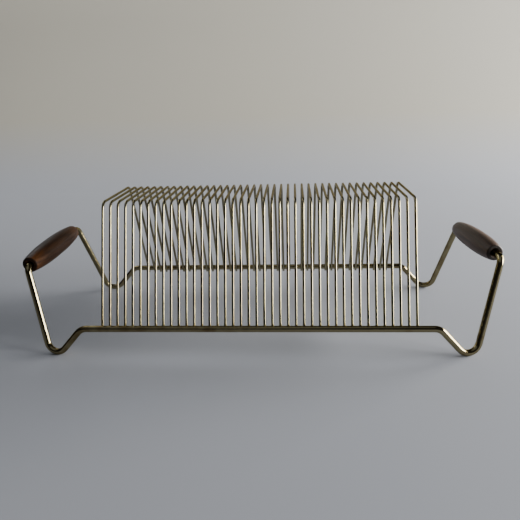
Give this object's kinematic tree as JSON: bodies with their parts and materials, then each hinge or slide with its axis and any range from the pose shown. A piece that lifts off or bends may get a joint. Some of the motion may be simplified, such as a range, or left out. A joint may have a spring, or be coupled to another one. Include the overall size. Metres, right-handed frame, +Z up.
{
  "type": "wire record rack",
  "caption": "Table-top wire rack for small records in sleeves: inverted-U divider wires welded to two bent rods with splayed feet, and a turned wooden carry handle spinning at each end.",
  "frame": {"origin": "on the plane the feet rest on, under the middle of the rack", "axes": "+X along the rack from the left handle to the right handle, +Y from front to rear, +Z up"},
  "size_m": [0.4582, 0.1776, 0.1382],
  "materials": {
    "brass_rod": "brass-plated steel rod, satin bright with brown tarnish and fine pits",
    "brass_wire": "brass-plated steel wire, satin bright with light tarnish",
    "walnut": "turned walnut, satin oiled, dark brown"
  },
  "bodies": {
    "frame": {"front_frame_rod": "brass_rod", "rear_frame_rod": "brass_rod", "divider_wire_01": "brass_wire", "divider_wire_02": "brass_wire", "divider_wire_03": "brass_wire", "divider_wire_04": "brass_wire", "divider_wire_05": "brass_wire", "divider_wire_06": "brass_wire", "divider_wire_07": "brass_wire", "divider_wire_08": "brass_wire", "divider_wire_09": "brass_wire", "divider_wire_10": "brass_wire", "divider_wire_11": "brass_wire", "divider_wire_12": "brass_wire", "divider_wire_13": "brass_wire", "divider_wire_14": "brass_wire", "divider_wire_15": "brass_wire", "divider_wire_16": "brass_wire", "divider_wire_17": "brass_wire", "divider_wire_18": "brass_wire", "divider_wire_19": "brass_wire", "divider_wire_20": "brass_wire", "divider_wire_21": "brass_wire", "divider_wire_22": "brass_wire", "divider_wire_23": "brass_wire", "divider_wire_24": "brass_wire", "divider_wire_25": "brass_wire", "divider_wire_26": "brass_wire", "divider_wire_27": "brass_wire", "divider_wire_28": "brass_wire", "divider_wire_29": "brass_wire", "divider_wire_30": "brass_wire", "divider_wire_31": "brass_wire", "divider_wire_32": "brass_wire", "divider_wire_33": "brass_wire", "divider_wire_34": "brass_wire", "divider_wire_35": "brass_wire", "divider_wire_36": "brass_wire", "divider_wire_37": "brass_wire", "divider_wire_38": "brass_wire", "divider_wire_39": "brass_wire", "divider_wire_40": "brass_wire", "divider_wire_41": "brass_wire"},
    "left_handle": {"left_handle": "walnut"},
    "right_handle": {"right_handle": "walnut"}
  },
  "joints": [
    {"name": "left_handle_spin", "type": "hinge", "parent": "frame", "child": "left_handle", "pos_m": [-0.2186, -0.00065, 0.0833], "axis": [-0.01, 0.9991, 0.0411], "continuous": true},
    {"name": "right_handle_spin", "type": "hinge", "parent": "frame", "child": "right_handle", "pos_m": [0.2186, 0.00065, 0.0833], "axis": [-0.01, 0.9991, -0.0411], "continuous": true}
  ]
}
